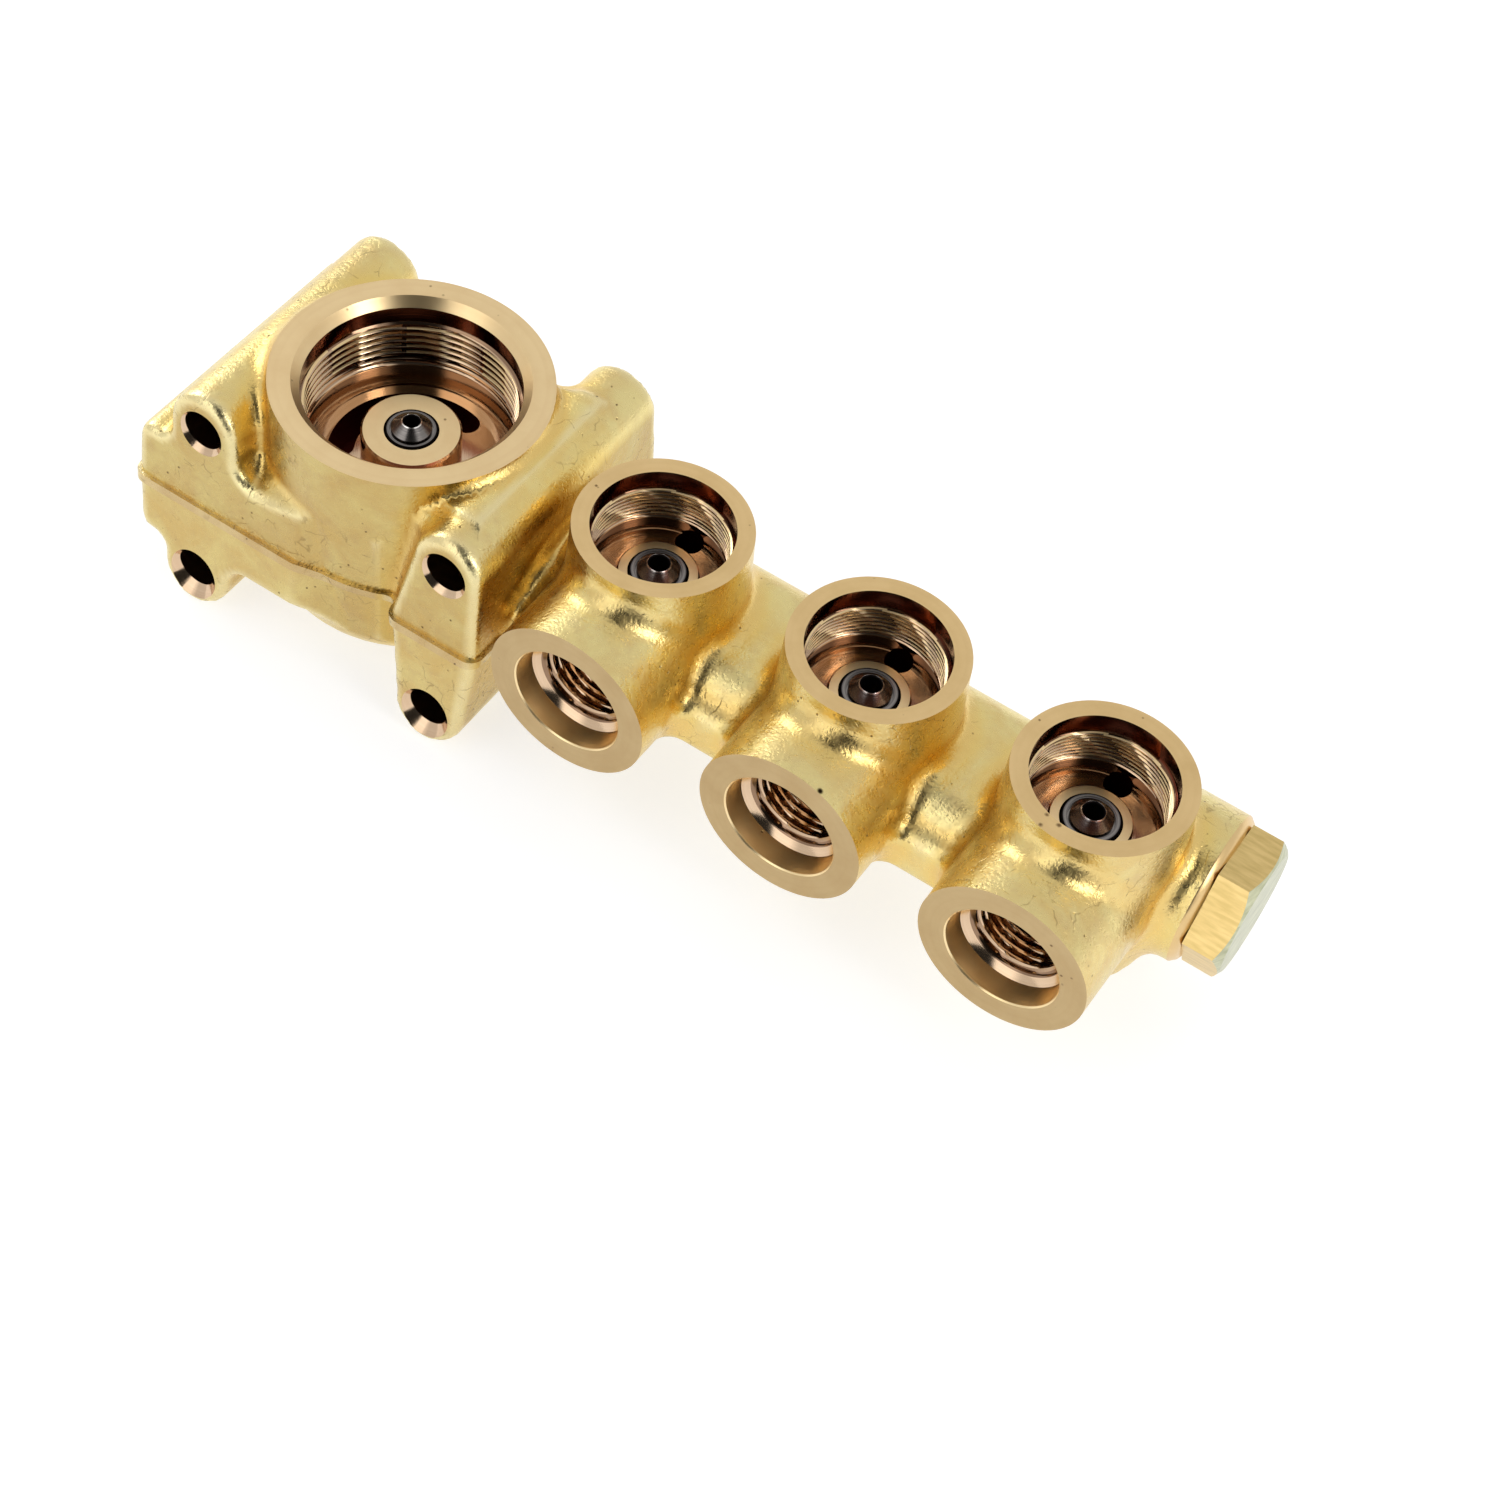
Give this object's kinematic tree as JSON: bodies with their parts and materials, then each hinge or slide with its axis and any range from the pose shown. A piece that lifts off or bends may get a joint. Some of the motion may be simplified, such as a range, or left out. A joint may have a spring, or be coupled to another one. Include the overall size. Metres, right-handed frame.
{
  "type": "hydraulic manifold block",
  "caption": "Forged brass valve manifold with a large threaded main port in a bolted head, smaller threaded valve ports with raised seats, side outlets and a hex end plug.",
  "frame": {"origin": "axis of the valve port next to the head, in the plane of the small port rims", "axes": "+X along the bar towards the end plug, +Y to the back, away from the outlet faces, +Z out of the valve ports"},
  "size_m": [0.1704, 0.0499, 0.04],
  "materials": {
    "forged_brass": "as-forged skin with machined ports",
    "plug_brass": "turned from drawn hexagon bar",
    "seat_steel": "polished stainless steel"
  },
  "bodies": {
    "root": {"manifold_body": "forged_brass", "end_plug": "plug_brass", "main_seat": "seat_steel", "valve_seat_1": "seat_steel", "valve_seat_2": "seat_steel", "valve_seat_3": "seat_steel"}
  },
  "joints": []
}
